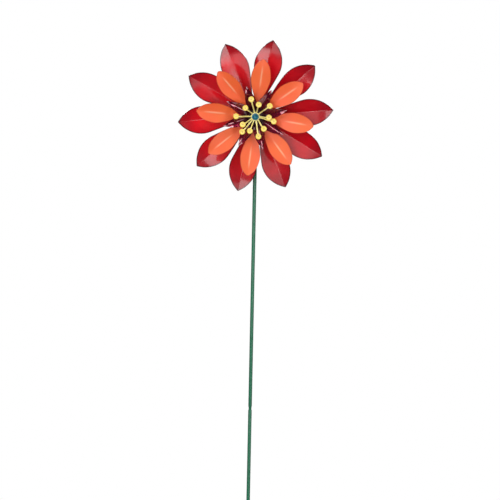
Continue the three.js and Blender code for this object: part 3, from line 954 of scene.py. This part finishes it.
def forkMesh(sides=32):
    # one bent rod with pointed ends, swept along its own centre line behind the pole
    behind = pole["radius"] + fork["radius"] + gap
    line = forkLine()
    radii = [fork["tip"]] + [fork["radius"]] * (len(line) - 2) + [fork["tip"]]
    vertices = []
    for i, (x, z) in enumerate(line):
        before = Vector(line[max(i - 1, 0)])
        after = Vector(line[min(i + 1, len(line) - 1)])
        ahead = (after - before).normalized()
        for k in range(sides):
            angle = 2 * math.pi * k / sides
            out = radii[i] * math.cos(angle)
            vertices.append((x - ahead.y * out, behind + radii[i] * math.sin(angle), z + ahead.x * out))
    end = (len(line) - 1) * sides
    faces = [tuple(range(sides - 1, -1, -1)), tuple(range(end, end + sides))]
    for i in range(len(line) - 1):
        for k in range(sides):
            n = (k + 1) % sides
            faces.append((i * sides + k, i * sides + n, (i + 1) * sides + n, (i + 1) * sides + k))
    return cleaned(meshFrom("groundFork", vertices, faces))


finishPiece("groundFork", forkMesh(), stakePlace, "stake", "green_paint", "ground_fork")

# two short beads, under and over the bar, hold the fork to the pole
forkBead = {
    "heights": (0.6, 5.4), "offPole": 0.2, "halfLong": 3,
    "drops": 6, "dropMm": 1.1, "flatness": 0.9, "seed": 4,
}
forkBeads = []
beadBehind = pole["radius"] + forkBead["offPole"]
for z in forkBead["heights"]:
    points = [(x, beadBehind, z) for x in (-forkBead["halfLong"], 0, forkBead["halfLong"])]
    forkBeads.append(weldedLine("forkLine", points, forkBead))
finishPiece("forkWeld", joinMeshes("forkWeld", forkBeads), stakePlace, "stake", "green_paint")
print("axle and stake drawn")

studio = {
    "floorRadius": 0.75, "floorFade": 0.3,
    "skyUp": 0.04, "skyDown": 0.02,
    # name: degrees to the side of and above the way the flower faces, metres away, size in metres, watts
    "lamps": {
        "keySoftbox": (30, 60, 2.3, (0.75, 0.75), 15),
        "frontSoftbox": (-8, -6, 2.3, (1.1, 1.1), 15),
        "rightSoftbox": (49, -11, 2.3, (0.75, 1.5), 15.5),
        "rightPanel": (15, 17, 2.3, (2.0, 0.9), 7),
        "leftSoftbox": (-33, -18, 2.3, (0.75, 0.7), 3),
        "leftUpperSoftbox": (-38, 22, 2.3, (1.2, 1.1), 15),
        "leftHighSoftbox": (-58, 40, 2.3, (0.8, 0.8), 11),
        "backRightSoftbox": (140, 30, 2.4, (1.0, 1.0), 40),
        "backLeftSoftbox": (-140, 30, 2.4, (1.0, 1.0), 40),
    },
}
flower = Vector((0, -0.059, axleHeight))


def paleFloorPaint():  # matt white that fades away towards the floor's rim, so that no edge shows
    material, tree = newMaterial("paleStudioFloor")
    spot = addNode(tree, "ShaderNodeTexCoord").outputs["Object"]
    flatSpot = addNode(tree, "ShaderNodeVectorMath", {"operation": "MULTIPLY"}, {0: spot, 1: (1, 1, 0)})
    away = addNode(tree, "ShaderNodeVectorMath", {"operation": "LENGTH"}, {0: flatSpot.outputs[0]})
    fade = addNode(tree, "ShaderNodeMapRange", {"interpolation_type": "SMOOTHSTEP"}, {
        "Value": away.outputs["Value"], "From Min": studio["floorFade"], "From Max": studio["floorRadius"],
    })
    plain = addNode(tree, "ShaderNodeBsdfDiffuse", inputs={"Color": linear("#f4f4f2")})
    clear = addNode(tree, "ShaderNodeBsdfTransparent")
    blend = addNode(tree, "ShaderNodeMixShader", inputs={
        0: fade.outputs[0], 1: plain.outputs[0], 2: clear.outputs[0],
    })
    addNode(tree, "ShaderNodeOutputMaterial", inputs={"Surface": blend.outputs[0]})
    return material


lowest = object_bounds()[0][2]
disc = bmesh.new()
bmesh.ops.create_circle(
    disc, cap_ends=True, segments=96, radius=studio["floorRadius"], matrix=Matrix.Translation((0, 0, lowest)),
)
floorMesh = bpy.data.meshes.new("floor")
disc.to_mesh(floorMesh)
disc.free()
floorMesh.materials.append(paleFloorPaint())
floor = bpy.data.objects.new("floor", floorMesh)
bpy.context.scene.collection.objects.link(floor)

# a white backdrop to the eye, but only a faint glow on the object, a little brighter from above
world = bpy.data.worlds.new("whiteStudio")
bpy.context.scene.world = world
world.use_nodes = True
sky = world.node_tree
sky.nodes.clear()
direction = addNode(sky, "ShaderNodeTexCoord").outputs["Generated"]
height = addNode(sky, "ShaderNodeSeparateXYZ", inputs={0: direction})
glow = addNode(sky, "ShaderNodeMapRange", {"interpolation_type": "SMOOTHSTEP"}, {
    "Value": height.outputs["Z"], "From Min": -0.35, "From Max": 0.6,
    "To Min": studio["skyDown"], "To Max": studio["skyUp"],
})
soft = addNode(sky, "ShaderNodeBackground", inputs={"Strength": glow.outputs[0]})
white = addNode(sky, "ShaderNodeBackground", inputs={"Strength": 1.0, "Color": (1, 1, 1, 1)})
rays = addNode(sky, "ShaderNodeLightPath")
both = addNode(sky, "ShaderNodeMixShader", inputs={
    0: rays.outputs["Is Camera Ray"], 1: soft.outputs[0], 2: white.outputs[0],
})
addNode(sky, "ShaderNodeOutputWorld", inputs={"Surface": both.outputs[0]})

for name, (side, up, distance, size, watts) in studio["lamps"].items():
    lamp = bpy.data.lights.new(name, "AREA")
    lamp.shape = "RECTANGLE"
    lamp.size, lamp.size_y = size
    lamp.energy = watts
    box = bpy.data.objects.new(name, lamp)
    bpy.context.scene.collection.objects.link(box)
    across, rise = math.radians(side), math.radians(up)
    toLamp = Vector((math.sin(across) * math.cos(rise), -math.cos(across) * math.cos(rise), math.sin(rise)))
    box.location = flower + toLamp * distance
    box.rotation_euler = toLamp.to_track_quat("Z", "Y").to_euler()
    box.visible_camera = False

# flowerAcross, flowerUp: how far the flower stands from the frame's middle, in frame widths, before the roll
view = {
    "lensMm": 135, "filmMm": 36, "distance": 3.78, "lookDown": 7.5, "fromRight": 1.8, "rollDegrees": 1.18,
    "flowerAcross": 0.0048, "flowerUp": 0.2651,
}
cameraData = bpy.data.cameras.new("camera")
cameraData.lens = view["lensMm"]
cameraData.sensor_width = view["filmMm"]
camera = bpy.data.objects.new("camera", cameraData)
bpy.context.scene.collection.objects.link(camera)
down = math.radians(view["lookDown"])
around = Matrix.Rotation(math.radians(view["fromRight"]), 3, "Z")
camera.location = flower + around @ Vector((0, -math.cos(down), math.sin(down))) * view["distance"]
focal = view["lensMm"] / view["filmMm"]
toFlower = around @ Matrix.Rotation(math.pi / 2 - down, 3, "X")
aimDown = Matrix.Rotation(-math.atan(view["flowerUp"] / focal), 3, "X")
aimLeft = Matrix.Rotation(math.atan(view["flowerAcross"] / focal), 3, "Y")
roll = Matrix.Rotation(math.radians(view["rollDegrees"]), 3, "Z")
camera.rotation_euler = (toFlower @ aimDown @ aimLeft @ roll).to_euler()
bpy.context.scene.camera = camera
bpy.context.scene.view_settings.view_transform = "Standard"
print("studio ready")
